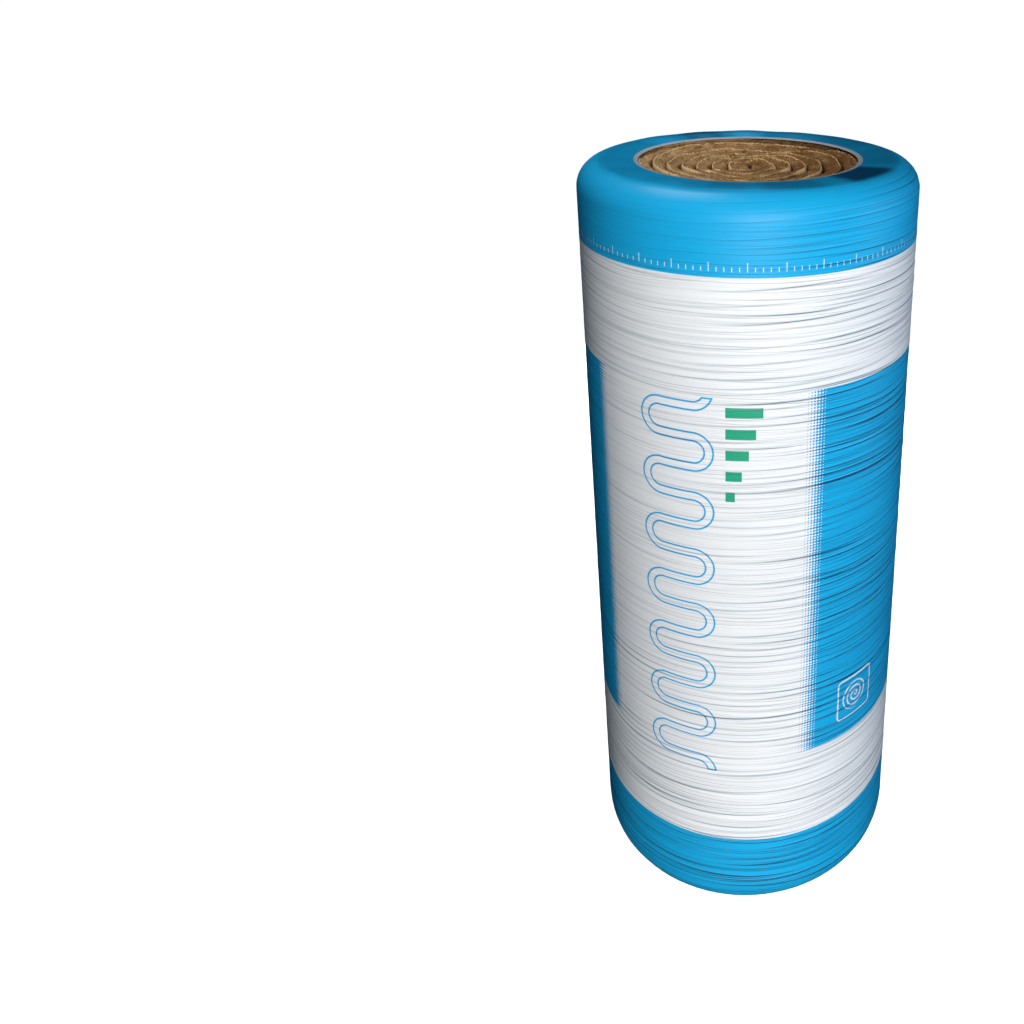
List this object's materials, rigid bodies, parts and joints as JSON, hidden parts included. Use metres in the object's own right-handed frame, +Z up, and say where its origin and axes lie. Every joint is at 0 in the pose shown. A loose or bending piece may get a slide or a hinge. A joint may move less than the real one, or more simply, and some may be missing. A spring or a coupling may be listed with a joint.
{
  "type": "insulation roll",
  "caption": "Roll of mineral wool insulation standing on its end: a long mat wound tight, held by a creased film sleeve that is open over the middle of both ends.",
  "frame": {"origin": "middle of the base, on the floor under the roll's axis", "axes": "+Z up the roll's axis, -Y towards the middle of the printed front, +X to the right seen from the front"},
  "size_m": [0.4999, 0.5, 1.2],
  "materials": {
    "film": "glossy creased packing film, printed blue and white",
    "wool": "matte brown mineral wool"
  },
  "bodies": {
    "root": {"film_wrap": "film", "wool_roll": "wool"}
  },
  "joints": []
}
